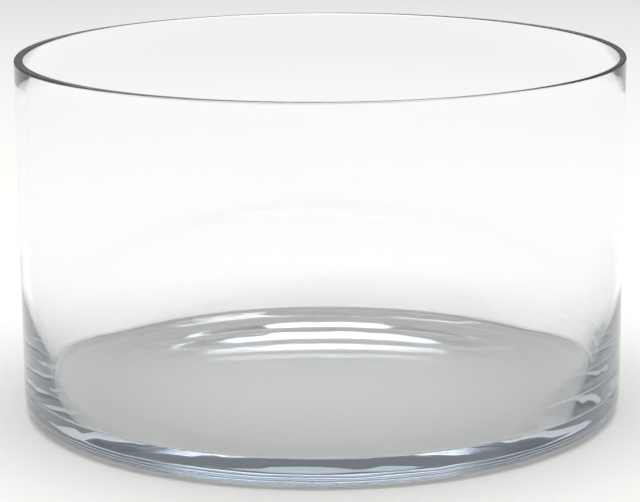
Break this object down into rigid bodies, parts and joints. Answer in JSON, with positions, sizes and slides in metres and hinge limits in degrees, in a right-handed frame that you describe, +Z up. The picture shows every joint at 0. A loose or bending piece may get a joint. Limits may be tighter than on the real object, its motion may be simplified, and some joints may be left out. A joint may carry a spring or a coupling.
{
  "type": "crystallizing dish",
  "caption": "Low, straight-sided clear glass dish with a flat, fire-polished rim, no spout, and a thick pressed base with a rounded heel and a foot ring.",
  "frame": {"origin": "centre of the foot ring, on the surface that the dish stands on", "axes": "+Z up along the dish's axis of revolution; X and Y are any two directions across it"},
  "size_m": [0.25, 0.25, 0.1475],
  "materials": {
    "clear_glass": "clear soda-lime glass, fire-polished wall and rim, faintly rippled pressed base"
  },
  "bodies": {
    "root": {"side_wall": "clear_glass", "heavy_base": "clear_glass"}
  },
  "joints": []
}
